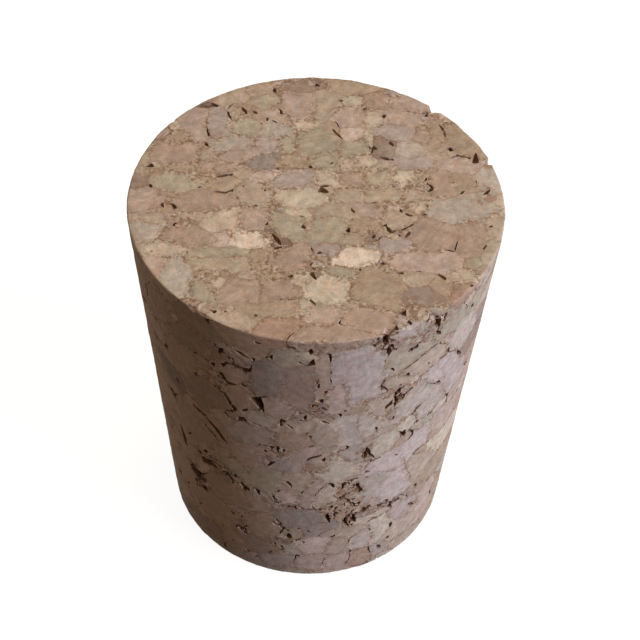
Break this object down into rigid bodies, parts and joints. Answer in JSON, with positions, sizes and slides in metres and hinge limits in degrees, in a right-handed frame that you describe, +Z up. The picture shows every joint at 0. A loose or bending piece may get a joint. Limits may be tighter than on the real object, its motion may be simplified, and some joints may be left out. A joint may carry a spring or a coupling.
{
  "type": "cork stopper",
  "caption": "Tapered plug of agglomerated cork that closes the round mouth of a bottle, flask or jar.",
  "frame": {"origin": "centre of the narrow end face, which the stopper stands on", "axes": "+Z up the stopper's own axis, from the narrow end to the wide end"},
  "size_m": [0.033, 0.033, 0.038],
  "materials": {
    "cork": "ground agglomerated cork, matt, granules of many tan shades with dark open pores"
  },
  "bodies": {
    "root": {"cork_stopper": "cork"}
  },
  "joints": []
}
